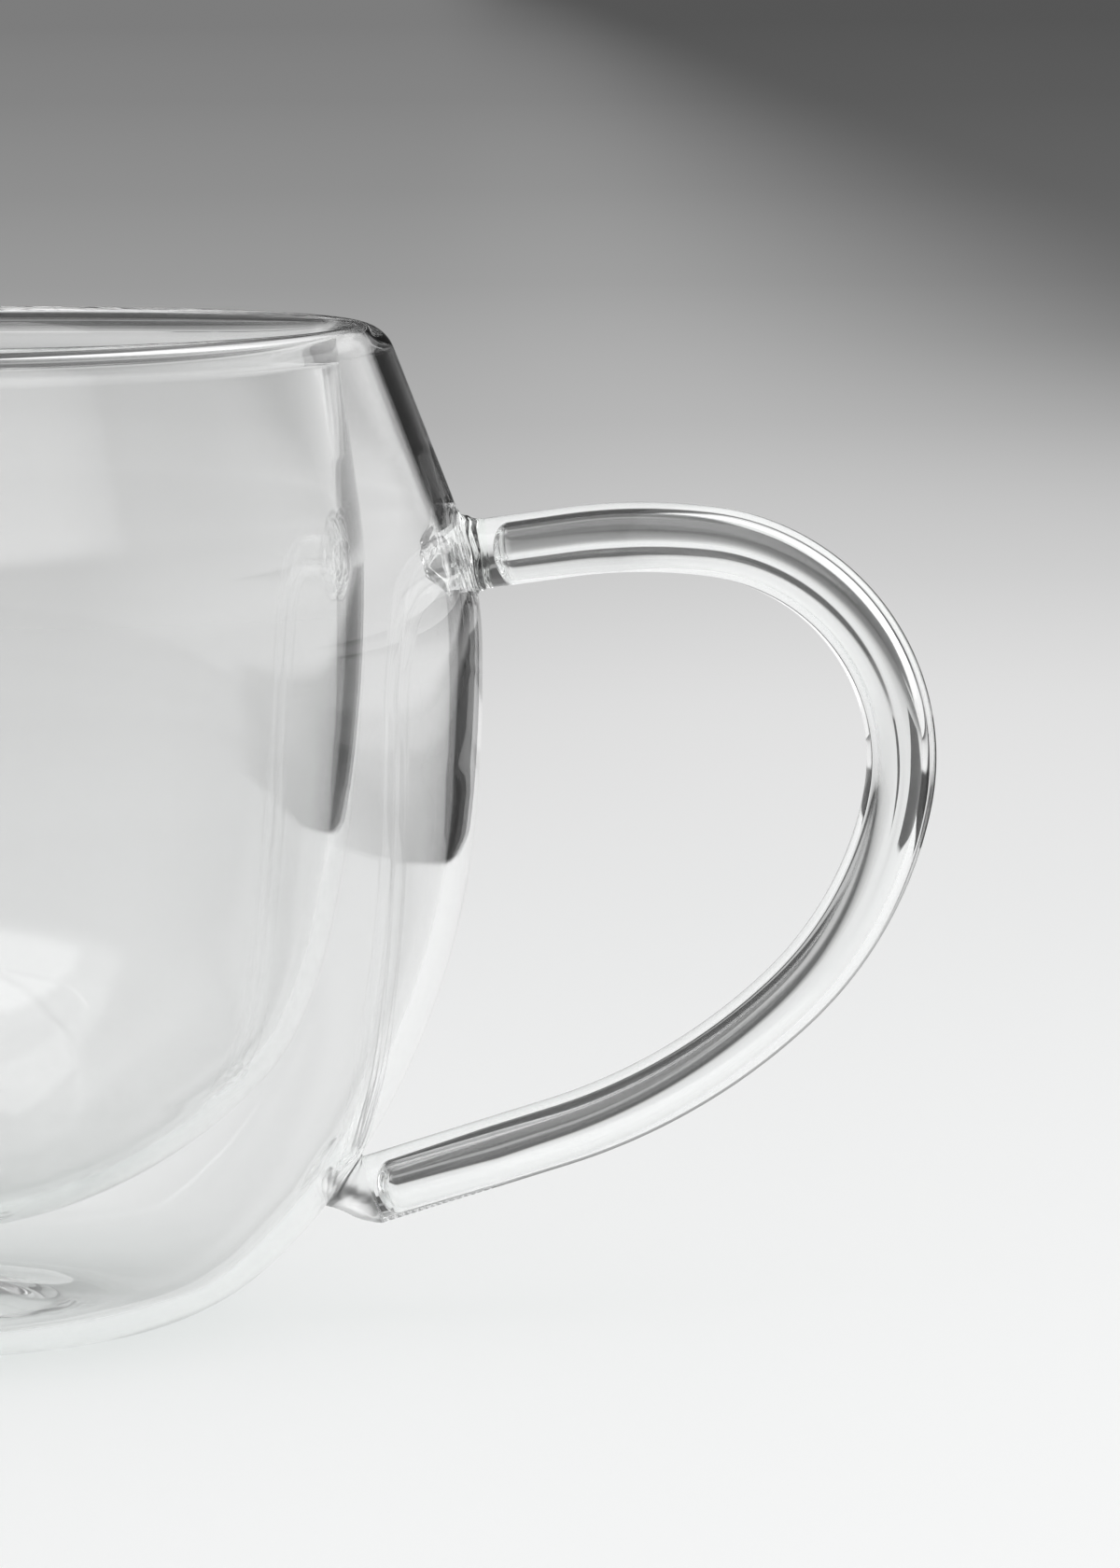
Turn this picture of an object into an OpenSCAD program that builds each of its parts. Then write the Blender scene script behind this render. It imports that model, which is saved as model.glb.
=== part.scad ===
// Double walled glass cup with a bent tube handle, in millimetres.
// The cup's axis is Z, it stands on the plane Z = 0 and the handle points along +X.

/* [Cup] */
// diameter of the outer shell at its widest
belly_d = 95.2; // [86:0.2:110]
// diameter of the inner bowl at its widest, measured on its outside
bowl_d = 76; // [68:0.2:80]
// height of the inner bowl's underside above the table
bowl_lift = 8.3; // [6:0.1:12]
// thickness of both glass walls
wall = 1.6; // [1.2:0.1:2]

/* [Outer shell outline] */
// radius of the curve from the base into the side
foot_r = 19.5; // [16:0.5:22]
// radius of the curve above the foot
low_r = 42.5; // [36:0.5:48]
// radius of the curve up the side
flank_r = 64; // [56:0.5:72]
// radius of the nearly upright curve under the widest ring
belly_r = 154; // [120:1:180]
// radius of the curve in over the widest ring
shoulder_r = 35.5; // [30:0.5:40]
// lean of the shoulder past upright, in degrees
shoulder_lean = 21; // [17:0.5:23]
// length of the straight shoulder up to the rim's roll
shoulder_run = 13.3; // [10:0.1:18]
// height of the hollow under the base
kick_up = 1.2; // [0.8:0.1:2]
// width of the ring that the cup stands on
foot_ring = 4; // [3:0.5:6]

/* [Inner bowl outline] */
// radius of the tight curve round the bowl's bottom corner
bowl_corner_r = 17.5; // [14:0.5:20]
// radius of the curve above the corner
bowl_flank_r = 38.5; // [34:0.5:44]
// radius of the nearly upright side
bowl_side_r = 131; // [110:1:150]
// radius of the curve in towards the rim
bowl_neck_r = 40; // [34:0.5:46]
// lean of the neck past upright, in degrees
bowl_neck_lean = 7.5; // [5:0.5:9]

/* [Handle] */
// outside diameter of the handle's glass tube
rod_d = 5.8; // [5:0.1:6.6]
// bore of the handle's glass tube
rod_bore = 3.2; // [2.6:0.1:3.8]
// height of the handle's upper end on the wall
grip_z = 63.8; // [60:0.2:66]
// upward slope of the handle where it leaves the wall, in degrees
grip_rise = 7.5; // [4:0.5:10]
// length of the first straight run, with its weld
grip_run = 8; // [6:0.2:10]
// radius of the handle's flat top
top_r = 45; // [40:1:50]
// radius of the round outer bend
bend_r = 18.2; // [16:0.2:20]
// radius of the slope under the bend
slope_r = 31; // [27:0.5:34]
// radius of the sweep back to the cup
sweep_r = 49; // [44:1:54]
// length of the upper weld along the rod
upper_weld_len = 2.6; // [2.4:0.1:4]
// diameter of the upper weld on the wall
upper_weld_d = 7.2; // [6.6:0.1:8.6]
// length of the lower weld along the rod
lower_weld_len = 5.4; // [5:0.1:7]
// bend radius of the rod's melted end into the wall
lower_weld_r = 4.5; // [4:0.1:6]
// diameter of the melted end in the wall
lower_weld_d = 4.6; // [4.2:0.1:5.4]

/* [Vent plug] */
// diameter of the hole in the base
vent_d = 6; // [5:0.2:7]
// diameter of the plug's head under the base
plug_head_d = 10; // [9:0.2:12]
// thickness of the plug's head
plug_head_t = 0.7; // [0.5:0.1:0.9]
// length of the plug's tip beyond the glass
plug_tip = 1.2; // [0.8:0.1:1.6]
// clearance between the head's edge and the table
plug_clear = 0.3; // [0.2:0.1:0.5]

/* [Hidden] */
$fn = 160;
// Largest turn in one step of a wall's curve and of the handle's line, in degrees.
arc_step = 2.5;
rod_step = 4;
// Flats round the handle's rod.
rod_sides = 32;

// Headings of the outer outline in degrees: 0 runs outwards, 90 runs straight up.
low_start = 42;
flank_start = 56;
belly_start = 85.4;
upright = 90;
cone_turn = upright + shoulder_lean;
neck_turn = upright + bowl_neck_lean;
corner_start = 45.6;
bowl_flank_start = 65.5;
bowl_side_start = 77.5;

// The move along an arc of radius r that turns left from heading a to heading b.
function bow(r, a, b) = r * [sin(b) - sin(a), cos(a) - cos(b)];
// The unit vector to the left of a heading.
function left(a) = [-sin(a), cos(a)];
function heading(a) = [cos(a), sin(a)];
// Points along such an arc from p, moved to the left by t, without the first one.
function arc_points(p, r, a, b, t) =
    let (steps = ceil((b - a) / arc_step))
    [for (i = [1:steps]) let (h = a + (b - a) * i / steps) p + bow(r, a, h) + t * left(h)];
function backwards(list) = [for (i = [len(list) - 1:-1:0]) list[i]];

// Outer outline from the edge of its flat foot to the end of the shoulder's curve.
foot_end = bow(foot_r, 0, low_start);
low_end = foot_end + bow(low_r, low_start, flank_start);
flank_end = low_end + bow(flank_r, flank_start, belly_start);
belly_end = flank_end + bow(belly_r, belly_start, upright);
foot_x = belly_d / 2 - belly_end[0];
shift = [foot_x, 0];
p_low = shift + foot_end;
p_flank = shift + low_end;
p_belly = shift + flank_end;
p_shoulder = shift + belly_end;
p_cone = p_shoulder + bow(shoulder_r, upright, cone_turn);

// Inner bowl outline, on its outside, from the axis to the end of the neck's curve.
bowl_rise = bow(bowl_corner_r, corner_start, bowl_flank_start)
    + bow(bowl_flank_r, bowl_flank_start, bowl_side_start)
    + bow(bowl_side_r, bowl_side_start, upright);
dish_r = (bowl_d / 2 - bowl_rise[0]) / sin(corner_start);
q_dish = [0, bowl_lift];
q_corner = q_dish + bow(dish_r, 0, corner_start);
q_flank = q_corner + bow(bowl_corner_r, corner_start, bowl_flank_start);
q_side = q_flank + bow(bowl_flank_r, bowl_flank_start, bowl_side_start);
q_neck = q_side + bow(bowl_side_r, bowl_side_start, upright);
q_cone = q_neck + bow(bowl_neck_r, upright, neck_turn);

// The rolled rim goes on from the shoulder and touches the inside of the neck.
cone_in = left(cone_turn);
neck_out = -left(neck_turn);
neck_inside = q_cone - wall * neck_out;
rim_seam = p_cone + shoulder_run * heading(cone_turn);
rim_r = (rim_seam - neck_inside) * neck_out / (1 - cone_in * neck_out);
rim_c = rim_seam + rim_r * cone_in;
neck_seam = rim_c - (rim_r - wall) * neck_out;

// Handle line in the XZ plane, as points and headings that turn right.
slope_turn = -101.5;
sweep_turn = -137;
tail_turn = -163;
weld_turn = -209;
top_end = -grip_rise;
function swing(r, a, b) = r * [sin(a) - sin(b), cos(b) - cos(a)];
shoulder_c = p_shoulder + shoulder_r * left(upright);
grip_x = shoulder_c[0] + sqrt(shoulder_r ^ 2 - (grip_z - shoulder_c[1]) ^ 2);
h_grip = [grip_x, grip_z];
h_top = h_grip + grip_run * heading(grip_rise);
h_bend = h_top + swing(top_r, grip_rise, top_end);
h_slope = h_bend + swing(bend_r, top_end, slope_turn);
h_sweep = h_slope + swing(slope_r, slope_turn, sweep_turn);
h_tail = h_sweep + swing(sweep_r, sweep_turn, tail_turn);
// The tail runs on until it meets the wall's low curve.
low_c = p_low + low_r * left(low_start);
tail_dot = heading(tail_turn) * (h_tail - low_c);
tail_run = -tail_dot - sqrt(tail_dot ^ 2 - norm(h_tail - low_c) ^ 2 + low_r ^ 2);

ring_in = foot_x - foot_ring;
base_top = kick_up + wall;
glass = [0.8, 0.9, 0.92, 0.5];
silicone = [0.93, 0.93, 0.9];

// The outer shell's side from the foot ring to the rim's seam, moved inwards by t.
function shell_side(t) = concat(
    [shift + [0, t]],
    arc_points(shift, foot_r, 0, low_start, t),
    arc_points(p_low, low_r, low_start, flank_start, t),
    arc_points(p_flank, flank_r, flank_start, belly_start, t),
    arc_points(p_belly, belly_r, belly_start, upright, t),
    arc_points(p_shoulder, shoulder_r, upright, cone_turn, t),
    [rim_seam + t * cone_in]
);

// The inner bowl from the middle of its bottom over the neck and rim to the seam, moved inwards by t.
function bowl_side(t) = concat(
    [q_dish + [0, t]],
    arc_points(q_dish, dish_r, 0, corner_start, t),
    arc_points(q_corner, bowl_corner_r, corner_start, bowl_flank_start, t),
    arc_points(q_flank, bowl_flank_r, bowl_flank_start, bowl_side_start, t),
    arc_points(q_side, bowl_side_r, bowl_side_start, upright, t),
    arc_points(q_neck, bowl_neck_r, upright, neck_turn, t),
    [neck_seam - t * neck_out],
    backwards(arc_points(rim_seam, rim_r, cone_turn, neck_turn + 2 * upright, wall - t)),
    [rim_seam + (wall - t) * cone_in]
);

// The flat foot ring, the slope of the hollow inside it and the hollow's flat roof, up to the vent.
function base_line(t) = [
    [vent_d / 2, kick_up + t],
    [ring_in - kick_up - wall, kick_up + t],
    [ring_in, t]
];

module outer_shell() {
    color(glass)
        rotate_extrude()
            polygon(concat(
                base_line(0),
                shell_side(0),
                backwards(shell_side(wall)),
                backwards(base_line(wall))
            ));
}

module inner_bowl() {
    color(glass)
        rotate_extrude()
            polygon(concat(bowl_side(0), backwards(bowl_side(wall))));
}

// Puts its children at point p of the handle's plane with their Z along a heading.
module along(p, a) {
    translate([p[0], 0, p[1]])
        rotate([0, upright - a, 0])
            children();
}

// Stations along the handle: each one is a point and the heading there.
function swing_stations(p, r, a, b) =
    let (steps = ceil((a - b) / rod_step))
    [for (i = [1:steps]) let (h = a + (b - a) * i / steps) [p + swing(r, a, h), h]];
handle_stations = concat(
    [
        [h_grip + upper_weld_len * heading(grip_rise), grip_rise],
        [h_top, grip_rise]
    ],
    swing_stations(h_top, top_r, grip_rise, top_end),
    swing_stations(h_bend, bend_r, top_end, slope_turn),
    swing_stations(h_slope, slope_r, slope_turn, sweep_turn),
    swing_stations(h_sweep, sweep_r, sweep_turn, tail_turn),
    [[h_tail + (tail_run - lower_weld_len) * heading(tail_turn), tail_turn]]
);

// Points of rings round the stations, whose diameter goes evenly from d1 to d2.
function rings(stations, d1, d2) = [
    for (j = [0:len(stations) - 1], k = [0:rod_sides - 1])
        let (
            r = (d1 + (d2 - d1) * j / (len(stations) - 1)) / 2,
            turn = 360 * k / rod_sides,
            out = stations[j][0] + r * cos(turn) * left(stations[j][1])
        )
        [out[0], r * sin(turn), out[1]]
];
// Faces between count rings whose first point has the number start.
function ring_sides(count, start) = [
    for (j = [0:count - 2], k = [0:rod_sides - 1])
        let (next = (k + 1) % rod_sides, row = start + j * rod_sides)
        [row + k, row + next, row + rod_sides + next, row + rod_sides + k]
];
// The flat face between two rings, each given by the number of its first point.
function ring_end(a, b) = [
    for (k = [0:rod_sides - 1])
        let (next = (k + 1) % rod_sides)
        [a + next, a + k, b + k, b + next]
];

// The handle's tube: an outer and an inner skin through the stations, joined at both ends.
module handle() {
    count = len(handle_stations);
    skin = count * rod_sides;
    last = skin - rod_sides;
    color(glass)
        polyhedron(
            concat(rings(handle_stations, rod_d, rod_d), rings(handle_stations, rod_bore, rod_bore)),
            concat(
                ring_sides(count, 0),
                [for (face = ring_sides(count, skin)) backwards(face)],
                ring_end(0, skin),
                ring_end(skin + last, last)
            )
        );
}

// The shell and all that lies inside it, to cut the welds to the wall.
module shell_filled() {
    rotate_extrude()
        polygon(concat([[0, 0]], shell_side(0), [[0, rim_seam[1]]]));
}

// The rod's melted end on the shoulder, flared on to the wall.
module upper_weld() {
    color(glass)
        difference() {
            along(h_grip, grip_rise)
                translate([0, 0, -wall])
                    cylinder(d1 = upper_weld_d + wall / 2, d2 = rod_d, h = upper_weld_len + wall);
            shell_filled();
        }
}

// The rod's solid melted end, bent into the low curve of the wall.
module lower_weld() {
    start = h_tail + (tail_run - lower_weld_len) * heading(tail_turn);
    bent = start + swing(lower_weld_r, tail_turn, weld_turn);
    stations = concat(
        [[start, tail_turn]],
        swing_stations(start, lower_weld_r, tail_turn, weld_turn),
        [[bent + rod_d * heading(weld_turn), weld_turn]]
    );
    count = len(stations);
    near_end = [for (k = [rod_sides - 1:-1:0]) k];
    far_end = [for (k = [0:rod_sides - 1]) (count - 1) * rod_sides + k];
    color(glass)
        difference() {
            polyhedron(
                rings(stations, rod_d, lower_weld_d),
                concat([near_end], ring_sides(count, 0), [far_end])
            );
            shell_filled();
        }
}

// The soft stopper of the vent hole, with its head against the hollow's roof.
module vent_plug() {
    head_edge = kick_up - plug_head_t;
    color(silicone)
        rotate_extrude()
            polygon([
                [0, max(head_edge, plug_clear)],
                [plug_head_d / 2, max(head_edge, plug_clear)],
                [plug_head_d / 2, kick_up],
                [vent_d / 2, kick_up],
                [vent_d / 2, base_top],
                [vent_d / 4, base_top + plug_tip],
                [0, base_top + plug_tip]
            ]);
}

outer_shell();
inner_bowl();
handle();
upper_weld();
lower_weld();
vent_plug();
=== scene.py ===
import math

import bpy
import numpy as np
from mathutils import Matrix


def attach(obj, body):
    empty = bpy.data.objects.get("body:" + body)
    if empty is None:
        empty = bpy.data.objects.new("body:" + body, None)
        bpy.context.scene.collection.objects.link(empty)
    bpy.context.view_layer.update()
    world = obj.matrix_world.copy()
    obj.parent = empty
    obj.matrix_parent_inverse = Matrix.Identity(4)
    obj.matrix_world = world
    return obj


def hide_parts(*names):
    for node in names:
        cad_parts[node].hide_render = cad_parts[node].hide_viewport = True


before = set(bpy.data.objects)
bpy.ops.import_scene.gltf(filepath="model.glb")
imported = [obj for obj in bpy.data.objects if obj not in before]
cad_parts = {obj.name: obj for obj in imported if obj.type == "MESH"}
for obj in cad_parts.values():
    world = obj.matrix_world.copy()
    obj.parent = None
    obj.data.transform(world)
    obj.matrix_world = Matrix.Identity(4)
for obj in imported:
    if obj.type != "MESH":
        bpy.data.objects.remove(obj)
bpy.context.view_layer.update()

mm = 0.001
scene = bpy.context.scene
scene.view_settings.view_transform = "Standard"
scene.cycles.max_bounces = 96  # light crosses eight glass faces and runs along inside the walls
scene.cycles.transmission_bounces = 96
scene.cycles.glossy_bounces = 96
scene.cycles.transparent_max_bounces = 32
print("frame loaded")


# A line is a chain of runs (radius, heading, next heading, length): an arc turns between
# its headings, a straight run has no radius. Headings are degrees, 0 outwards and 90 up.
def makeLine(startPoint, runs):
    line = {"s": [0.0], "p": [np.array(startPoint, float)], "h": [], "k": []}
    for radius, fromTurn, toTurn, length in runs:
        h0, h1 = math.radians(fromTurn), math.radians(toTurn)
        if radius is None:
            bend, step = 0.0, length * np.array([math.cos(h0), math.sin(h0)])
        else:
            bend, length = math.copysign(1 / radius, h1 - h0), radius * abs(h1 - h0)
            step = np.array([math.sin(h1) - math.sin(h0), math.cos(h0) - math.cos(h1)]) / bend
        line["h"].append(h0)
        line["k"].append(bend)
        line["s"].append(line["s"][-1] + length)
        line["p"].append(line["p"][-1] + step)
    return {key: np.array(value) for key, value in line.items()}


# The point and heading at distance s: the run's start plus the chord of its arc.
def lineAt(line, s):
    s = np.asarray(s, float)
    i = np.clip(np.searchsorted(line["s"], s, side="right") - 1, 0, len(line["h"]) - 1)
    ds, h0, k, p = s - line["s"][i], line["h"][i], line["k"][i], line["p"][i]
    h = h0 + k * ds
    safe = np.where(k == 0, 1.0, k)
    dx = np.where(k == 0, ds * np.cos(h0), (np.sin(h) - np.sin(h0)) / safe)
    dz = np.where(k == 0, ds * np.sin(h0), (np.cos(h0) - np.cos(h)) / safe)
    return np.stack([p[..., 0] + dx, p[..., 1] + dz], -1), h


# The unit vector to the right of a heading, which is outwards on a line that climbs.
def rightOf(h):
    return np.stack([np.sin(h), -np.cos(h)], -1)


cupSizes = {
    "bellyD": 95.2, "bowlD": 76.0, "bowlLift": 8.3, "wall": 1.6, "shoulderRun": 13.3,
    "sideRadii": (19.5, 42.5, 64.0, 154.0, 35.5), "sideTurns": (0, 42, 56, 85.4, 90, 111),
    "bowlRadii": (None, 17.5, 38.5, 131.0, 40.0), "bowlTurns": (0, 45.6, 65.5, 77.5, 90, 97.5),
    "kickUp": 1.2, "footRing": 4.0, "roofX": 6.0, "ventD": 6.0,
    "gapWall": ((0, 20, 60, 88, 110), (1.9, 2.0, 2.1, 1.7, 1.6)),  # outer wall's thickness up the side
}


# The move along an arc from heading a to heading b.
def bow(radius, a, b):
    a, b = math.radians(a), math.radians(b)
    return radius * np.array([math.sin(b) - math.sin(a), math.cos(a) - math.cos(b)])


# Outer side from the foot to the rim, the bowl's outside from the axis to the neck, and
# the rim's roll: a circle that goes on from the shoulder and touches the neck's inside.
def cupLines(c):
    t, b, wall = c["sideTurns"], c["bowlTurns"], c["wall"]
    side = [(r, t[i], t[i + 1]) for i, r in enumerate(c["sideRadii"])]
    footX = c["bellyD"] / 2 - sum(bow(*a)[0] for a in side[:4])
    bowl = [(r, b[i], b[i + 1]) for i, r in enumerate(c["bowlRadii"])]
    dishR = (c["bowlD"] / 2 - sum(bow(*a)[0] for a in bowl[1:4])) / math.sin(math.radians(b[1]))
    bowl[0] = (dishR, b[0], b[1])
    neck = np.array([0, c["bowlLift"]]) + sum(bow(*a) for a in bowl)
    cone = np.array([footX, 0]) + sum(bow(*a) for a in side)
    lean = math.radians(t[5])
    seam = cone + c["shoulderRun"] * np.array([math.cos(lean), math.sin(lean)])
    coneIn, neckOut = -rightOf(lean), rightOf(math.radians(b[5]))
    rimR = (seam - neck + wall * neckOut) @ neckOut / (1 - coneIn @ neckOut)
    rimC = seam + rimR * coneIn
    neckEnd = rimC - (rimR - wall) * neckOut
    sideLine = makeLine([footX, 0], [a + (0,) for a in side] + [(None, t[5], t[5], c["shoulderRun"])])
    bowlLine = makeLine([0, c["bowlLift"]], [a + (0,) for a in bowl]
                        + [(None, b[5], b[5], np.linalg.norm(neckEnd - neck))])
    rimLine = makeLine(seam, [(rimR, t[5], 180 + b[5], 0)])
    return sideLine, bowlLine, rimLine, footX


sideLine, bowlLine, rimLine, footX = cupLines(cupSizes)
print("cup outlines ready")


# Quads of a grid, rows by columns; wrap closes the columns into a ring.
def gridFaces(rows, cols, wrap, flip=False):
    j, i = np.meshgrid(np.arange(rows - 1), np.arange(cols if wrap else cols - 1), indexing="ij")
    k = (i + 1) % cols
    quad = np.stack([j * cols + i, j * cols + k, (j + 1) * cols + k, (j + 1) * cols + i], -1)
    return quad[..., ::-1] if flip else quad


# A profile of (radius, height) points and normals, turned round the axis.
def revolve(points, normals, around, flip=False, seam=0):
    turn = np.arange(around) * 2 * np.pi / around
    c, s = np.cos(turn), np.sin(turn)
    spin = lambda a: np.stack([a[:, :1] * c, a[:, :1] * s, np.repeat(a[:, 1:], around, 1)], -1)
    return spin(points), spin(normals), gridFaces(len(points), around, True, flip), seam


# The unit normals of a grid that wraps round its columns.
def gridNormals(v):
    n = np.cross((np.roll(v, -1, 1) - np.roll(v, 1, 1)) / 2, np.gradient(v, axis=0))
    return n / np.maximum(np.linalg.norm(n, axis=2, keepdims=True), 1e-12)


# A ring closed by a fan to its middle, where two pieces of glass are fused.
def seamDisk(ring, flip):
    v = np.stack([np.broadcast_to(ring.mean(0), ring.shape), ring])
    return v, np.ones_like(v), gridFaces(2, len(ring), True, flip), 1


# Chunks of points, normals and quads become one closed mesh: equal points are merged,
# each corner keeps its own normal and quads with a doubled corner become triangles.
def makePiece(name, chunks, materials, slotName, *nodes):
    base = np.cumsum([0] + [v[..., 0].size for v, n, f, m in chunks])
    verts = np.vstack([v.reshape(-1, 3) for v, n, f, m in chunks])
    norms = np.vstack([n.reshape(-1, 3) for v, n, f, m in chunks])
    faces = np.vstack([f.reshape(-1, 4) + b for (v, n, f, m), b in zip(chunks, base)])
    finish = np.concatenate([np.full(f.size // 4, m) for v, n, f, m in chunks])
    norms = norms / np.linalg.norm(norms, axis=1, keepdims=True)
    _, first, back = np.unique(np.round(verts, 4), axis=0, return_index=True, return_inverse=True)
    merged = back.reshape(-1)[faces]
    same = merged == np.roll(merged, -1, 1)
    whole, cut = same.sum(1) == 0, same.sum(1) == 1
    corner = (same[cut].argmax(1)[:, None] + np.array([1, 2, 3])) % 4
    tris = np.take_along_axis(merged[cut], corner, 1)
    triNorms = norms[np.take_along_axis(faces[cut], corner, 1)]
    mesh = bpy.data.meshes.new(name)
    mesh.from_pydata((verts[first] * mm).tolist(), [], merged[whole].tolist() + tris.tolist())
    mesh.polygons.foreach_set("material_index", np.concatenate([finish[whole], finish[cut]]).astype(np.int32))
    mesh.polygons.foreach_set("use_smooth", np.ones(len(mesh.polygons), bool))
    corners = np.vstack([norms[faces[whole]].reshape(-1, 3), triNorms.reshape(-1, 3)])
    mesh.normals_split_custom_set(corners.tolist())
    for material in materials:
        mesh.materials.append(material)
    piece = bpy.data.objects.new(name, mesh)
    scene.collection.objects.link(piece)
    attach(piece, "root")
    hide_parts(*nodes)
    print(name, "has", len(mesh.polygons), "faces")


blownSizes = {"rippleDetail": 1.0, "hazeDetail": 5.0, "hazeFrom": (0.45, 0.75)}


# Slow ripple of blown glass as a height, and faint handling haze as a roughness.
def makeBlownGroup():
    group = bpy.data.node_groups.new("blownGlass", "ShaderNodeTree")
    for socket in ("Ripple Scale", "Haze Scale", "Haze Low", "Haze High"):
        group.interface.new_socket(socket, in_out="INPUT", socket_type="NodeSocketFloat")
    for socket in ("Height", "Roughness"):
        group.interface.new_socket(socket, in_out="OUTPUT", socket_type="NodeSocketFloat")
    nodes, link = group.nodes, group.links.new
    entry, out = nodes.new("NodeGroupInput"), nodes.new("NodeGroupOutput")
    coords = nodes.new("ShaderNodeTexCoord")
    ripple, haze = nodes.new("ShaderNodeTexNoise"), nodes.new("ShaderNodeTexNoise")
    ripple.inputs["Detail"].default_value = blownSizes["rippleDetail"]
    haze.inputs["Detail"].default_value = blownSizes["hazeDetail"]
    span = nodes.new("ShaderNodeMapRange")
    span.inputs["From Min"].default_value, span.inputs["From Max"].default_value = blownSizes["hazeFrom"]
    link(coords.outputs["Object"], ripple.inputs["Vector"])
    link(coords.outputs["Object"], haze.inputs["Vector"])
    link(entry.outputs["Ripple Scale"], ripple.inputs["Scale"])
    link(entry.outputs["Haze Scale"], haze.inputs["Scale"])
    link(haze.outputs["Fac"], span.inputs["Value"])
    link(entry.outputs["Haze Low"], span.inputs["To Min"])
    link(entry.outputs["Haze High"], span.inputs["To Max"])
    link(ripple.outputs["Fac"], out.inputs["Height"])
    link(span.outputs["Result"], out.inputs["Roughness"])
    return group


blownGroup = makeBlownGroup()
# ripple: scale and depth in mm; haze: scale and the roughness that it goes between
glassLooks = {
    "outerGlass": {"tint": (0.967, 0.969, 0.968, 1), "ripple": (55.0, 0.02), "haze": (40.0, 0.0, 0.012)},
    "innerGlass": {"tint": (0.967, 0.969, 0.968, 1), "ripple": (55.0, 0.02), "haze": (40.0, 0.0, 0.012)},
    "handleGlass": {"tint": (0.985, 0.989, 0.987, 1), "ripple": (90.0, 0.01), "haze": (60.0, 0.0, 0.01)},
    "weldGlass": {"tint": (0.96, 0.985, 0.965, 1), "ripple": (420.0, 0.06), "haze": (200.0, 0.0, 0.03)},
    # the lower weld, cloudy with fine bubbles
    "cloudGlass": {"tint": (0.985, 0.992, 0.988, 1), "ripple": (420.0, 0.03), "haze": (900.0, 0.30, 0.50)},
}
glassSizes = {"ior": 1.47, "shade": (0.975, 0.98, 0.978, 1)}


# Clear glass; lamp light passes straight through it to the floor with a light shade.
def makeGlass(name):
    look = glassLooks[name]
    material = bpy.data.materials.new(name)
    material.use_nodes = True
    nodes, link = material.node_tree.nodes, material.node_tree.links.new
    glass, out = nodes["Principled BSDF"], nodes["Material Output"]
    glass.inputs["Base Color"].default_value = look["tint"]
    glass.inputs["IOR"].default_value = glassSizes["ior"]
    glass.inputs["Transmission Weight"].default_value = 1.0
    blown, bump = nodes.new("ShaderNodeGroup"), nodes.new("ShaderNodeBump")
    blown.node_tree = blownGroup
    values = (look["ripple"][0],) + look["haze"]
    for socket, value in zip(("Ripple Scale", "Haze Scale", "Haze Low", "Haze High"), values):
        blown.inputs[socket].default_value = value
    bump.inputs["Distance"].default_value = look["ripple"][1] * mm
    link(blown.outputs["Height"], bump.inputs["Height"])
    link(bump.outputs["Normal"], glass.inputs["Normal"])
    link(blown.outputs["Roughness"], glass.inputs["Roughness"])
    clear, mix = nodes.new("ShaderNodeBsdfTransparent"), nodes.new("ShaderNodeMixShader")
    clear.inputs["Color"].default_value = glassSizes["shade"]
    path, either = nodes.new("ShaderNodeLightPath"), nodes.new("ShaderNodeMath")
    either.operation = "MAXIMUM"
    link(path.outputs["Is Shadow Ray"], either.inputs[0])
    link(path.outputs["Is Diffuse Ray"], either.inputs[1])
    link(either.outputs["Value"], mix.inputs["Fac"])
    link(glass.outputs["BSDF"], mix.inputs[1])
    link(clear.outputs["BSDF"], mix.inputs[2])
    link(mix.outputs["Shader"], out.inputs["Surface"])
    return material


# Where two pieces are fused there is no surface: their meeting faces are clear.
def makeFusedSeam():
    material = bpy.data.materials.new("fusedSeam")
    material.use_nodes = True
    material.node_tree.nodes["Principled BSDF"].inputs["Alpha"].default_value = 0.0
    return material


fusedSeam = makeFusedSeam()
outerGlass, innerGlass = [makeGlass("outerGlass"), fusedSeam], [makeGlass("innerGlass"), fusedSeam]
handleGlass, weldGlass = [makeGlass("handleGlass"), fusedSeam], [makeGlass("weldGlass"), fusedSeam]
cloudGlass = [makeGlass("cloudGlass"), fusedSeam]
print("glass ready")


handleSizes = {
    "tubeD": 5.8, "gripZ": 63.8, "gripRun": 8.0, "radii": (45.0, 18.2, 31.0, 49.0),
    "turns": (7.5, -7.5, -101.5, -137, -163), "step": 0.6, "upperLen": 1.5, "lowerLen": 4.2,
    # the bore at shares of the tube's length: its half height and half width, how far it lies out of
    # the loop and to the back, all as shares of the tube's radius, how far its oval leans, in degrees,
    # and the height of its rib as a share of the bore; the rib's angle and width are in radians
    "bore": {"at": (0.0, 0.1, 0.25, 0.42, 0.6, 0.9, 1.0), "high": (0.60, 0.61, 0.57, 0.55, 0.53, 0.53, 0.50),
             "wide": (0.43, 0.43, 0.46, 0.50, 0.54, 0.57, 0.50), "lean": (17, 17, 8, 0, -15, -31, -31),
             "out": (-0.06, -0.07, -0.04, 0.0, 0.08, 0.16, 0.12),
             "back": (0.18, 0.22, 0.16, 0.10, 0.18, 0.26, 0.20),
             "rib": (0.10, 0.11, 0.11, 0.08, 0.0, 0.0, 0.0), "ribTurn": -1.62, "ribWide": 0.15},
    "boreEnds": (0.35, 1.6),  # gap before the bore's tip and the length that narrows to it
    "boreSides": 96, "boreRings": 150, "tipRings": 14, "wallSamples": 20001,
}


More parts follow.
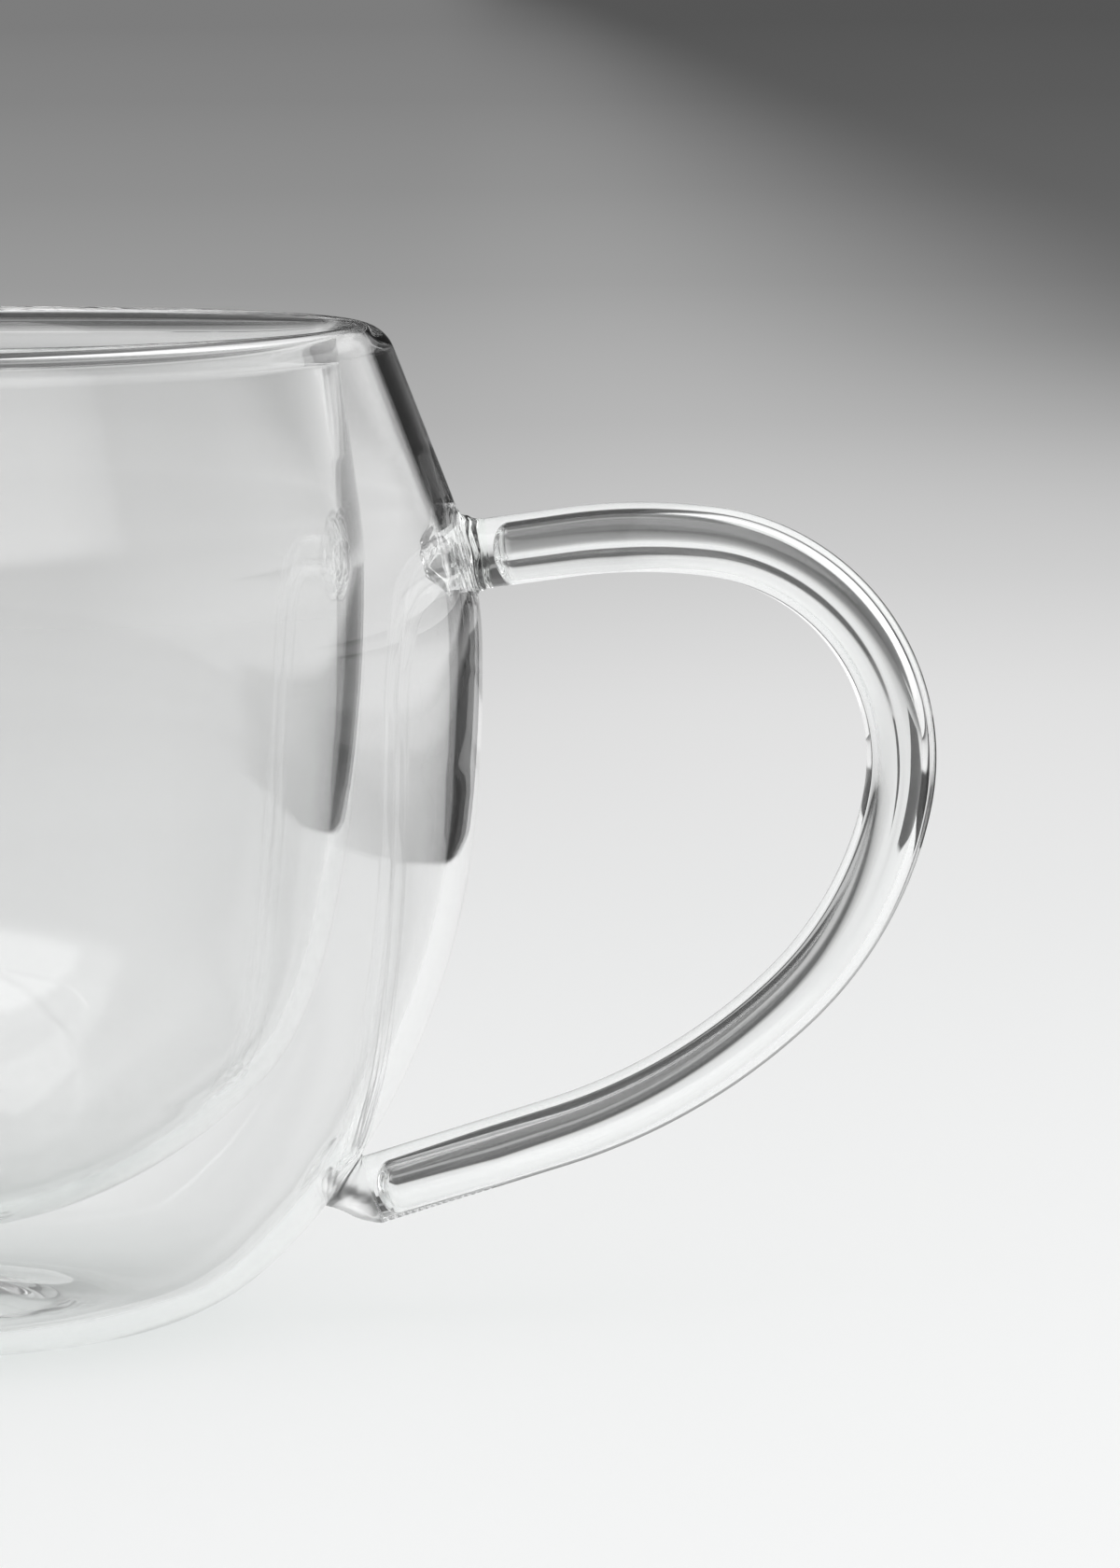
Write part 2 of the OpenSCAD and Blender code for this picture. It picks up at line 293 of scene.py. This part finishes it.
# The tube's line in the XZ plane: out of the shoulder, round, and straight back to the low wall.
def handleLine(h):
    t = h["turns"]
    s = np.linspace(0, sideLine["s"][-1], h["wallSamples"])
    wall, _ = lineAt(sideLine, s)
    gripS = np.interp(h["gripZ"], wall[:, 1], s)
    grip, _ = lineAt(sideLine, gripS)
    runs = [(None, t[0], t[0], h["gripRun"])]
    runs += [(r, t[i], t[i + 1], 0) for i, r in enumerate(h["radii"])]
    tail = makeLine(grip, runs)["p"][-1]
    back = np.array([math.cos(math.radians(t[4])), math.sin(math.radians(t[4]))])
    low = wall[:, 1] < h["gripZ"] / 2
    across = (wall[low] - tail) @ rightOf(math.radians(t[4]))
    order = 1 if across[-1] > across[0] else -1
    footS = np.interp(0, across[::order], s[low][::order])
    foot, _ = lineAt(sideLine, footS)
    return makeLine(grip, runs + [(None, t[4], t[4], float((foot - tail) @ back))]), gripS, footS


tubeLine, gripS, footS = handleLine(handleSizes)
tubeLength = tubeLine["s"][-1]
print("handle line is", round(float(tubeLength), 1), "mm long")


# The wall's point and normal at angle turn round the axis and distance s up the side.
def wallAt(turn, s):
    p, h = lineAt(sideLine, s)
    n = rightOf(h)
    c, d = np.cos(turn), np.sin(turn)
    return (np.stack([p[..., 0] * c, p[..., 0] * d, p[..., 1]], -1),
            np.stack([n[..., 0] * c, n[..., 0] * d, n[..., 1]], -1))


shellSizes = {"around": 256, "cell": 1.15, "window": 8, "collarRows": 12, "baseRows": (10, 25, 9, 4)}
# each weld's ring on the wall: its middle up the side and its half width and half height, and the
# lump that it pushes into the closed space: half width, half height and rise
weldRings = {
    "lower": {"s": footS + 2.6, "half": (2.8, 2.75), "lump": (2.4, 2.3, 0.25)},
    "upper": {"s": gripS + 0.35, "half": (3.4, 3.75), "lump": (2.9, 2.8, 2.0)},
}


# Heights of the side's rows: even steps, with the same number of cells over each weld's window.
def sideRows():
    cell, w, end = shellSizes["cell"], shellSizes["window"], sideLine["s"][-1]
    marks = [0]
    for ring in weldRings.values():
        marks += [ring["s"] - w * cell, ring["s"] + w * cell]
    marks[-1] = min(marks[-1], end - cell)
    marks.append(end)
    counts = [2 * w if k % 2 else round((marks[k + 1] - marks[k]) / cell) for k in range(len(marks) - 1)]
    rows = [np.linspace(marks[k], marks[k + 1], n + 1)[:-1] for k, n in enumerate(counts)]
    starts = np.cumsum([0] + counts)
    return np.append(np.concatenate(rows), end), {"lower": starts[1], "upper": starts[3]}


# The square edge of a weld's window as steps round the wall and up it from the ring's middle.
def windowEdge(ring, rows, first):
    w = shellSizes["window"]
    reach = lineAt(sideLine, ring["s"])[0][0]
    n, full = np.arange(-w, w), np.full(2 * w, w)
    i, j = np.concatenate([n, full, -n, -full]), np.concatenate([-full, n, full, -n])
    x, y = i * 2 * np.pi / shellSizes["around"] * reach, rows[first + w + j] - ring["s"]
    return np.stack([x, y], -1), reach


# Between a window's square edge and the weld's ring: straight blends from ring to edge, on the wall.
def weldCollar(ring, rows, first):
    edge, reach = windowEdge(ring, rows, first)
    angle = np.arctan2(edge[:, 1], edge[:, 0])
    inner = np.stack([ring["half"][0] * np.cos(angle), ring["half"][1] * np.sin(angle)], -1)
    t = np.linspace(0, 1, shellSizes["collarRows"])[:, None, None]
    flat = inner * (1 - t) + edge * t
    v, m = wallAt(flat[..., 0] / reach, ring["s"] + flat[..., 1])
    return v, m, gridFaces(len(t), len(edge), True, True), 0


# rows from middle to edge, the power that crowds them to the middle, the lump's fall, and its folds: share
# of the rise, radians a mm across, sway and its radians a mm up, then share, radians a mm up and across
lumpSizes = {"rows": 44, "crowd": 1.3, "fall": 0.7, "folds": (0.09, 4.0, 1.5, 2.3, 0.06, 3.3, 2.0)}


# The wall's inside behind a weld: a blunt lump, exp of minus the distance to the fourth, with low folds.
def weldLump(ring, rows, first):
    edge, reach = windowEdge(ring, rows, first)
    flat = edge * np.linspace(0, 1, lumpSizes["rows"])[:, None, None] ** lumpSizes["crowd"]
    x, y = flat[..., 0], flat[..., 1]
    v, m = wallAt(x / reach, ring["s"] + y)
    wide, high, rise = ring["lump"]
    tall, across, sway, up, low, lowUp, lowAcross = lumpSizes["folds"]
    folds = 1 + tall * np.sin(across * x + sway * np.sin(up * y)) + low * np.sin(lowUp * y + lowAcross * x)
    deep = rise * np.exp(-lumpSizes["fall"] * ((x / wide) ** 2 + (y / high) ** 2) ** 2) * folds
    v = v - (np.interp(ring["s"] + y, *cupSizes["gapWall"]) + deep)[..., None] * m
    n = gridNormals(v)
    n[0], n[-1] = -m[0], -m[-1]
    return v, n, gridFaces(len(flat), len(edge), True), 0


# The outer shell: its side with a collar at each weld, its inside towards the closed space
# one wall further in with a lump behind each weld, its base, and the seam under the rim's roll.
def shellChunks():
    around, w = shellSizes["around"], shellSizes["window"]
    rows, firsts = sideRows()
    p, h = lineAt(sideLine, rows)
    gap = p - np.interp(rows, *cupSizes["gapWall"])[:, None] * rightOf(h)
    d = np.gradient(gap, rows, axis=0)
    v, n, f, _ = revolve(p, rightOf(h), around)
    inV, inN, inF, _ = revolve(gap, np.stack([-d[:, 1], d[:, 0]], -1), around, True)
    keep = np.ones(f.shape[:2], bool)
    chunks = []
    for name, first in firsts.items():
        keep[first:first + 2 * w, :w] = keep[first:first + 2 * w, -w:] = False
        ring = weldRings[name]
        collar = weldCollar(ring, rows, first)
        ring["ring"], ring["normal"] = collar[0][0], collar[1][0]
        chunks += [collar, seamDisk(collar[0][0], True), weldLump(ring, rows, first)]
    top = np.stack([p[-1], gap[-1]])
    return [(v, n, f[keep], 0), (inV, inN, inF[keep], 0)] + chunks + [
        revolve(top, np.ones_like(top), around, False, 1)] + baseChunks(gap[0])


# The base: a flat foot ring, a slow rise to the hollow's roof round the plug, a still slower one
# inside, both smooth steps, and the vent's wall.
def baseChunks(gapEdge):
    c, around = cupSizes, shellSizes["around"]
    ringIn = footX - c["footRing"]
    ventX, roofX = c["ventD"] / 2, c["roofX"]
    roofRows, riseRows, ringRows, ventRows = shellSizes["baseRows"]
    r = np.concatenate([np.linspace(ventX, roofX, roofRows), np.linspace(roofX, ringIn, riseRows)[1:],
                        np.linspace(ringIn, footX, ringRows)[1:]])
    rise = lambda u: c["kickUp"] * u * u * (3 - 2 * u)
    below = np.stack([r, rise(np.clip((ringIn - r) / (ringIn - roofX), 0, 1))], -1)
    above = np.stack([r, gapEdge[1] + rise((footX - r) / (footX - ventX))], -1)
    down = np.stack([np.gradient(below[:, 1], r), -np.ones_like(r)], -1)
    up = np.stack([-np.gradient(above[:, 1], r), np.ones_like(r)], -1)
    vent = np.linspace(below[0], above[0], ventRows)
    return [revolve(below, down, around), revolve(above, up, around, True),
            revolve(vent, np.tile([-1.0, 0.0], (ventRows, 1)), around, True)]


makePiece("outerShell", shellChunks(), outerGlass, "outer_glass", "outer_shell")


bowlSizes = {"rimRows": 40, "bowlRows": 110, "rimThin": 0.45}


# The inner bowl: the rim's roll and its underside, which is thinned by a squared sine over the
# roll, the bowl's inside one wall in, and its outside.
def bowlChunks():
    around, wall = shellSizes["around"], cupSizes["wall"]
    rim, rimH = lineAt(rimLine, np.linspace(0, rimLine["s"][-1], bowlSizes["rimRows"]))
    rimOut = rightOf(rimH)
    thin = bowlSizes["rimThin"] * np.sin(np.linspace(0, np.pi, bowlSizes["rimRows"])) ** 2
    under = rim - (wall - thin)[:, None] * rimOut
    d = np.gradient(under, axis=0)
    out, outH = lineAt(bowlLine, np.linspace(0, bowlLine["s"][-1], bowlSizes["bowlRows"]))
    outN = rightOf(outH)
    inside = out - wall * outN
    out[0, 0] = inside[0, 0] = 0  # the pole
    seam = np.stack([rim[0] - wall * rimOut[0], rim[0]])
    return [revolve(rim, rimOut, around), revolve(under, np.stack([-d[:, 1], d[:, 0]], -1), around, True),
            revolve(inside[::-1], -outN[::-1], around), revolve(out, outN, around),
            revolve(seam, np.ones_like(seam), around, False, 1)]


makePiece("innerBowl", bowlChunks(), innerGlass, "inner_glass", "inner_bowl")


sideways = np.array([0.0, 1.0, 0.0])


# The tube at distance s: its centre, and the directions over it and along it.
def tubeAt(s):
    p, h = lineAt(tubeLine, s)
    nil = np.zeros_like(h)
    return (np.stack([p[..., 0], nil, p[..., 1]], -1), np.stack([-np.sin(h), nil, np.cos(h)], -1),
            np.stack([np.cos(h), nil, np.sin(h)], -1))


# Directions from the tube's centre: cosine of the angle over it, sine of the angle sideways.
def spokes(up, angle):
    return np.cos(angle)[..., None] * up + np.sin(angle)[..., None] * sideways


weldSizes = {
    # the ridges' sway: radians and waves round, twice; the dents: height, then waves round and radians
    # along, twice
    "rows": 36, "sway": (1.3, 2, 0.8, 5), "dents": (0.6, 9, 7, 4, 5),
    "upper": {"pull": (0.9, 0.9), "ridges": 2.5, "crumple": 0.07},
    "lower": {"pull": (0.25, 0.7), "ridges": 2.0, "crumple": 0.04},
}


# A weld: at each angle a Hermite curve leaves the wall's ring and ends along the tube, with
# low ridges round it where the soft glass was pushed together.
def weldChunks(name, s, outward):
    size, ring, normal = weldSizes[name], weldRings[name]["ring"], weldRings[name]["normal"]
    centre, up, ahead = tubeAt(np.array(s))
    angle = np.arctan2((ring - centre) @ sideways, (ring - centre) @ up)
    spoke = spokes(up, angle)
    tip = centre + handleSizes["tubeD"] / 2 * spoke
    inward = ring.mean(0) - ring
    inward -= (inward * normal).sum(1, keepdims=True) * normal
    inward /= np.linalg.norm(inward, axis=1, keepdims=True)
    chord = np.linalg.norm(tip - ring, axis=1, keepdims=True)
    t = np.linspace(0, 1, weldSizes["rows"])[:, None, None]
    v = ((2 * t**3 - 3 * t**2 + 1) * ring + (t**3 - 2 * t**2 + t) * inward * chord * size["pull"][0]
         + (3 * t**2 - 2 * t**3) * tip + (t**3 - t**2) * outward * ahead * chord * size["pull"][1])
    along, (sway, waves, sway2, waves2) = t[..., 0], weldSizes["sway"]
    dent, k, m, k2, m2 = weldSizes["dents"]
    phase = 2 * np.pi * size["ridges"] * along + sway * np.sin(waves * angle) + sway2 * np.sin(waves2 * angle)
    wave = np.sin(phase) + dent * np.sin(k * angle + m * along) * np.cos(k2 * angle - m2 * along)
    v = v + gridNormals(v) * (np.sin(np.pi * t) * wave[..., None] * size["crumple"])
    n = gridNormals(v)
    n[0], n[-1] = normal, spoke
    return [(v, n, gridFaces(len(t), len(angle), True), 0), seamDisk(ring, False), seamDisk(tip, True)], angle


upperChunks, upperAngle = weldChunks("upper", handleSizes["upperLen"], 1)
lowerChunks, lowerAngle = weldChunks("lower", tubeLength - handleSizes["lowerLen"], -1)
makePiece("upperWeld", upperChunks, weldGlass, "weld_glass", "upper_weld")
makePiece("lowerWeld", lowerChunks, cloudGlass, "weld_glass", "lower_weld")


# The bore: an ellipse carried along the tube off its middle, narrowed to a round tip at both ends,
# with a drawn rib along its near side, a bell curve of the angle.
def boreChunk(first, last):
    h, bore = handleSizes, handleSizes["bore"]
    gap, taper = h["boreEnds"]
    a = np.linspace(0, np.pi / 2, h["tipRings"])
    s = np.concatenate([first + gap + taper * (1 - np.cos(a[:-1])),
                        np.linspace(first + gap + taper, last - gap - taper, h["boreRings"]),
                        last - gap - taper * (1 - np.cos(a[-2::-1]))])
    narrow = np.concatenate([np.sin(a[:-1]), np.ones(h["boreRings"]), np.sin(a[-2::-1])])
    share = lambda key: np.interp((s - first) / (last - first), bore["at"], bore[key])
    high, wide, out, back = [share(key) * h["tubeD"] / 2 for key in ("high", "wide", "out", "back")]
    lean = np.radians(share("lean"))[:, None]
    centre, up, ahead = tubeAt(s)
    over, side = np.cos(lean) * up - np.sin(lean) * sideways, np.sin(lean) * up + np.cos(lean) * sideways
    turn = np.arange(h["boreSides"]) * -2 * np.pi / h["boreSides"]
    bell = np.exp(-((turn - bore["ribTurn"]) / bore["ribWide"]) ** 2)
    size = narrow[:, None] * (1 - share("rib")[:, None] * bell)
    v = ((centre + out[:, None] * up + back[:, None] * sideways)[:, None]
         + (size * high[:, None])[..., None] * np.cos(turn)[:, None] * over[:, None]
         + (size * wide[:, None])[..., None] * np.sin(turn)[:, None] * side[:, None])
    n = -gridNormals(v)
    n[0], n[-1] = ahead[0], -ahead[-1]
    return v, n, gridFaces(len(s), len(turn), True, True), 0


# The handle: rings round the tube's line whose angles turn from one weld's ring to the other's,
# and a bore with rounded ends.
def handleChunks():
    h = handleSizes
    first, last = h["upperLen"], tubeLength - h["lowerLen"]
    s = np.linspace(first, last, int((last - first) / h["step"]))
    start, end = np.unwrap(upperAngle), np.unwrap(lowerAngle)[::-1]
    apart = lambda k: np.angle(np.exp(1j * (np.roll(end, k) - start)))
    turn = apart(min(range(len(end)), key=lambda k: np.abs(apart(k)).sum()))
    angle = start + turn * np.linspace(0, 1, len(s))[:, None]
    centre, up, _ = tubeAt(s)
    spoke = spokes(up[:, None], angle)
    v = centre[:, None] + h["tubeD"] / 2 * spoke
    outside = (v, spoke, gridFaces(len(s), len(start), True), 0)
    return [outside, seamDisk(v[0], False), seamDisk(v[-1], True), boreChunk(first, last)]


makePiece("handleRod", handleChunks(), handleGlass, "handle_glass", "handle")


plugSizes = {"headD": 10.0, "headT": 0.7, "tip": 1.2, "round": 0.3, "middle": 2.0, "arcRows": 7, "around": 96}


# The vent's plug: a flat rounded head under the base, a stem in the vent and a blunt tip.
def plugChunks():
    roof, stem, head = cupSizes["kickUp"], cupSizes["ventD"] / 2, plugSizes["headD"] / 2
    top, low, rnd = roof + cupSizes["gapWall"][1][0], roof - plugSizes["headT"], plugSizes["round"]
    a = np.linspace(0, np.pi / 2, plugSizes["arcRows"])
    edge = np.stack([head - rnd + rnd * np.sin(a), low + rnd - rnd * np.cos(a)], -1)
    tip = top + plugSizes["tip"]
    cap = np.stack([stem - rnd + rnd * np.cos(a), tip - rnd + rnd * np.sin(a)], -1)
    runs = [np.array([[0, low], [plugSizes["middle"], low], edge[0]]), edge,
            np.array([edge[-1], [head, roof]]), np.array([[head, roof], [stem, roof]]),
            np.array([[stem, roof], cap[0]]), cap, np.array([cap[-1], [0, tip]])]
    chunks = []
    for run in runs:
        d = np.gradient(run, axis=0)
        chunks.append(revolve(run, np.stack([d[:, 1], -d[:, 0]], -1), plugSizes["around"]))
    return chunks


siliconeLook = {"grain": 700.0, "dull": (0.84, 0.85, 0.83, 1), "pale": (0.92, 0.93, 0.91, 1),
                "roughness": 0.5, "clear": 0.15, "ior": 1.41}


# Milky silicone with a fine moulded grain.
def makeSilicone():
    look = siliconeLook
    material = bpy.data.materials.new("milkySilicone")
    material.use_nodes = True
    nodes, link = material.node_tree.nodes, material.node_tree.links.new
    body = nodes["Principled BSDF"]
    coords, noise, ramp = (nodes.new("ShaderNodeTexCoord"), nodes.new("ShaderNodeTexNoise"),
                           nodes.new("ShaderNodeValToRGB"))
    noise.inputs["Scale"].default_value = look["grain"]
    ramp.color_ramp.elements[0].color = look["dull"]
    ramp.color_ramp.elements[1].color = look["pale"]
    link(coords.outputs["Object"], noise.inputs["Vector"])
    link(noise.outputs["Fac"], ramp.inputs["Fac"])
    link(ramp.outputs["Color"], body.inputs["Base Color"])
    body.inputs["Roughness"].default_value = look["roughness"]
    body.inputs["Transmission Weight"].default_value = look["clear"]
    body.inputs["IOR"].default_value = look["ior"]
    return material


makePiece("ventPlug", plugChunks(), [makeSilicone()], "silicone", "vent_plug")


floorSizes = {
    "box": (-30.0, 30.0, -3.0, 60.0), "drop": 0.00005, "paper": (0.88, 0.885, 0.885, 1),
    "roughness": 0.6, "specular": 0.2,
    "fade": (0.22, 0.60),  # where the lit paper turns into the backdrop's painted grey
    # painted light falloff: grey of the backdrop by distance behind the cup, in metres
    "paintedFalloff": ((0.0, 0.84), (0.36, 0.76), (0.55, 0.70), (0.80, 0.58), (1.24, 0.455), (1.98, 0.345),
              (2.9, 0.29), (4.7, 0.245), (8.4, 0.215)),
    "side": (-0.02, 0.10, 0.95, 1.07),  # painted light: the floor's right is painted as the brighter side
    # the backdrop's dark far right
    "shade": {"right": (0.04, 0.30), "lean": 0.02, "leanFrom": 1.7, "behind": (0.7, 1.7), "level": 0.40},
    # a black card at the right, which only the glass sees: its left side by distance behind the cup
    "card": {"left": ((-0.05, 0.25), (0.06, 0.19), (0.2, 0.137), (0.28, 0.122), (0.49, 0.155), (0.95, 0.255)),
             "wide": 0.17, "behind": (-0.04, 0.95), "soft": (0.008, 0.08), "level": 0.04},
}


# A plain number is set on its socket, an output is linked to it.
def feed(tree, socket, value):
    if isinstance(value, (int, float)):
        socket.default_value = value
    else:
        tree.links.new(value, socket)


# One math node.
def mathNode(tree, operation, *values):
    node = tree.nodes.new("ShaderNodeMath")
    node.operation = operation
    for socket, value in zip(node.inputs, values):
        feed(tree, socket, value)
    return node.outputs["Value"]


# A smooth step of a value from start to end.
def stepNode(tree, value, start, end, low=0.0, high=1.0):
    node = tree.nodes.new("ShaderNodeMapRange")
    node.interpolation_type = "SMOOTHSTEP"
    for socket, number in zip(node.inputs[1:5], (start, end, low, high)):
        socket.default_value = number
    tree.links.new(value, node.inputs["Value"])
    return node.outputs["Result"]


# One number painted over another by a mask.
def overNode(tree, mask, under, over):
    node = tree.nodes.new("ShaderNodeMix")
    for socket, value in zip(node.inputs[:1] + node.inputs[2:4], (mask, under, over)):
        feed(tree, socket, value)
    return node.outputs["Result"]


# The product of four edges, which is one inside all of them.
def maskNode(tree, edges):
    return mathNode(tree, "MULTIPLY", mathNode(tree, "MULTIPLY", edges[0], edges[1]),
                    mathNode(tree, "MULTIPLY", edges[2], edges[3]))


# Straight blends between stops of (place, level).
def rampNode(tree, value, stops):
    ramp = tree.nodes.new("ShaderNodeValToRGB")
    elements = ramp.color_ramp.elements
    start, reach = stops[0][0], stops[-1][0] - stops[0][0]
    for place, level in stops[1:-1]:
        elements.new((place - start) / reach)
    for stop, (place, level) in zip(elements, stops):
        stop.color = (level, level, level, 1)
    past = mathNode(tree, "SUBTRACT", value, start)
    tree.links.new(mathNode(tree, "DIVIDE", past, reach), ramp.inputs["Fac"])
    return ramp.outputs["Color"]


# A pale paper floor, lit near the cup; further away it is the backdrop, an emission with painted light
# falloff that grows darker with distance and a painted brighter right side. The glass also sees a black card,
# which gives its walls their dark edge.
def makeFloor():
    size = floorSizes
    x0, x1, y0, y1 = size["box"]
    mesh = bpy.data.meshes.new("floor")
    corners = ((x0, y0), (x1, y0), (x1, y1), (x0, y1))
    mesh.from_pydata([(x, y, -size["drop"]) for x, y in corners], [], [(0, 1, 2, 3)])
    material = bpy.data.materials.new("floorPaper")
    material.use_nodes = True
    tree = material.node_tree
    nodes, link = tree.nodes, tree.links.new
    paper = nodes["Principled BSDF"]
    paper.inputs["Base Color"].default_value = size["paper"]
    paper.inputs["Roughness"].default_value = size["roughness"]
    paper.inputs["Specular IOR Level"].default_value = size["specular"]
    coords, split = nodes.new("ShaderNodeTexCoord"), nodes.new("ShaderNodeSeparateXYZ")
    link(coords.outputs["Object"], split.inputs["Vector"])
    x, y = split.outputs["X"], split.outputs["Y"]
    shade, card = size["shade"], size["card"]
    pivot = mathNode(tree, "SUBTRACT", x, shade["leanFrom"] * shade["lean"])
    slant = mathNode(tree, "MULTIPLY_ADD", y, shade["lean"], pivot)
    dark = mathNode(tree, "MULTIPLY", stepNode(tree, slant, *shade["right"]),
                    stepNode(tree, y, *shade["behind"]))
    # painted light falloff: the backdrop's emission grows darker with distance behind the cup, under the
    # shade
    level = mathNode(tree, "MULTIPLY", rampNode(tree, y, size["paintedFalloff"]),
                     overNode(tree, dark, 1.0, shade["level"]))
    # painted light: the floor's emission is painted brighter towards its right
    level = mathNode(tree, "MULTIPLY", level, stepNode(tree, x, *size["side"]))
    over = mathNode(tree, "SUBTRACT", x, rampNode(tree, y, card["left"]))
    soft, (near, end) = card["soft"], card["behind"]
    shape = maskNode(tree, [stepNode(tree, over, 0.0, soft[0]),
                            stepNode(tree, over, card["wide"], card["wide"] + soft[1], 1.0, 0.0),
                            stepNode(tree, y, near, near + soft[1]),
                            stepNode(tree, y, end - soft[1], end, 1.0, 0.0)])
    path = nodes.new("ShaderNodeLightPath")
    black = mathNode(tree, "MULTIPLY", shape, mathNode(tree, "SUBTRACT", 1.0, path.outputs["Is Camera Ray"]))
    glow, mix = nodes.new("ShaderNodeEmission"), nodes.new("ShaderNodeMixShader")
    link(overNode(tree, black, level, card["level"]), glow.inputs["Strength"])
    squares = mathNode(tree, "ADD", mathNode(tree, "POWER", x, 2.0), mathNode(tree, "POWER", y, 2.0))
    length = mathNode(tree, "SQRT", squares)
    link(mathNode(tree, "MAXIMUM", stepNode(tree, length, *size["fade"]), black), mix.inputs["Fac"])
    link(paper.outputs["BSDF"], mix.inputs[1])
    link(glow.outputs["Emission"], mix.inputs[2])
    link(mix.outputs["Shader"], nodes["Material Output"].inputs["Surface"])
    mesh.materials.append(material)
    floor = bpy.data.objects.new("floor", mesh)
    scene.collection.objects.link(floor)


# Soft boxes and dark flags round the cup: bearing from and to (0 behind it, 90 to the right),
# height from and to, softness of both, all in degrees, and brightness; later ones cover earlier ones.
studio = {
    "base": 0.07, "fill": 0.635,
    "boxes": {
        "leftGlow": (-70, -14, 4, 16, 10, 5, 0.5),
        "frontLeft": (-190, -100, -10, 100, 30, 10, 0.5),
        "frontRight": (100, 190, -10, 100, 30, 10, 0.9),
        "frontTopLeft": (-190, -125, 30, 66, 4, 4, 2.2),
        "frontTopRight": (125, 190, 30, 66, 4, 4, 2.7),
        "backStrip": (-14, 2, 8.5, 13, 4, 3, 0.3),
        "backRight": (6, 60, 14, 36, 4, 4, 0.75),
        "backHigh": (8, 60, 36, 100, 6, 6, 1.1),
        "rightLow": (24, 130, -12, 8, 8, 4, 0.9),
        "rightBox": (25, 130, 8, 78, 28, 6, 1.4),
        "lowFlag": (6, 18, -4, 2, 4, 1.2, 0.02),
        "highFlag": (4, 31, 1.0, 11, 3, 1.5, 0.03),
        "rightStrip": (17, 34, -3.5, 0.8, 5, 1, 0.55),
    },
}


# The studio as the eye and the glass see it, and an even white fill for the floor.
def makeWorld():
    world = bpy.data.worlds.new("studio")
    scene.world = world
    world.use_nodes = True
    tree = world.node_tree
    nodes, link = tree.nodes, tree.links.new
    nodes.clear()
    out, seen, fill = (nodes.new("ShaderNodeOutputWorld"), nodes.new("ShaderNodeBackground"),
                       nodes.new("ShaderNodeBackground"))
    coords, split = nodes.new("ShaderNodeTexCoord"), nodes.new("ShaderNodeSeparateXYZ")
    link(coords.outputs["Generated"], split.inputs["Vector"])
    bearing = mathNode(tree, "DEGREES", mathNode(tree, "ARCTAN2", split.outputs["X"], split.outputs["Y"]))
    rise = mathNode(tree, "DEGREES", mathNode(tree, "ARCSINE", split.outputs["Z"]))
    level = studio["base"]
    for left, right, low, high, softSide, softRise, glow in studio["boxes"].values():
        edges = [stepNode(tree, bearing, left - softSide / 2, left + softSide / 2),
                 stepNode(tree, bearing, right - softSide / 2, right + softSide / 2, 1.0, 0.0),
                 stepNode(tree, rise, low - softRise / 2, low + softRise / 2),
                 stepNode(tree, rise, high - softRise / 2, high + softRise / 2, 1.0, 0.0)]
        level = overNode(tree, maskNode(tree, edges), level, glow)
    link(level, seen.inputs["Strength"])
    fill.inputs["Strength"].default_value = studio["fill"]
    for light in (seen, fill):
        light.inputs["Color"].default_value = (1, 1, 1, 1)
    path, mix = nodes.new("ShaderNodeLightPath"), nodes.new("ShaderNodeMixShader")
    mirrored = mathNode(tree, "MAXIMUM", path.outputs["Is Glossy Ray"], path.outputs["Is Transmission Ray"])
    link(mathNode(tree, "MAXIMUM", mirrored, path.outputs["Is Camera Ray"]), mix.inputs["Fac"])
    link(fill.outputs["Background"], mix.inputs[1])
    link(seen.outputs["Background"], mix.inputs[2])
    link(mix.outputs["Shader"], out.inputs["Surface"])


lamps = {
    "topLamp": {"at": (0.45, -0.25, 0.9), "aimZ": 0.04, "size": (0.8, 0.6), "power": 5.6},
}


# A soft box that lights the floor from over the cup; the glass sees it in the studio's boxes.
def makeLamp(name):
    lamp = bpy.data.lights.new(name, "AREA")
    lamp.shape = "RECTANGLE"
    lamp.size, lamp.size_y = lamps[name]["size"]
    lamp.energy = lamps[name]["power"]
    holder = bpy.data.objects.new(name, lamp)
    x, y, z = lamps[name]["at"]
    holder.location = (x, y, z)
    holder.rotation_euler = (math.atan2(math.hypot(x, y), z - lamps[name]["aimZ"]), 0, math.atan2(x, -y))
    holder.visible_camera = holder.visible_glossy = holder.visible_transmission = False
    scene.collection.objects.link(holder)


cameraSizes = {"at": (53.9, -692.3, 116.3), "pitch": 84.10, "roll": -0.44, "lens": 192.86, "sensor": 36.0,
               "clip": (0.01, 50.0)}


# The camera at the photograph's place and angle.
def makeCamera():
    eye = bpy.data.cameras.new("camera")
    eye.lens, eye.sensor_width = cameraSizes["lens"], cameraSizes["sensor"]
    eye.clip_start, eye.clip_end = cameraSizes["clip"]
    holder = bpy.data.objects.new("camera", eye)
    holder.matrix_world = (Matrix.Translation([v * mm for v in cameraSizes["at"]])
                           @ Matrix.Rotation(math.radians(cameraSizes["pitch"]), 4, "X")
                           @ Matrix.Rotation(math.radians(cameraSizes["roll"]), 4, "Z"))
    scene.collection.objects.link(holder)
    scene.camera = holder


makeFloor()
makeWorld()
for lampName in lamps:
    makeLamp(lampName)
makeCamera()
print("studio ready")
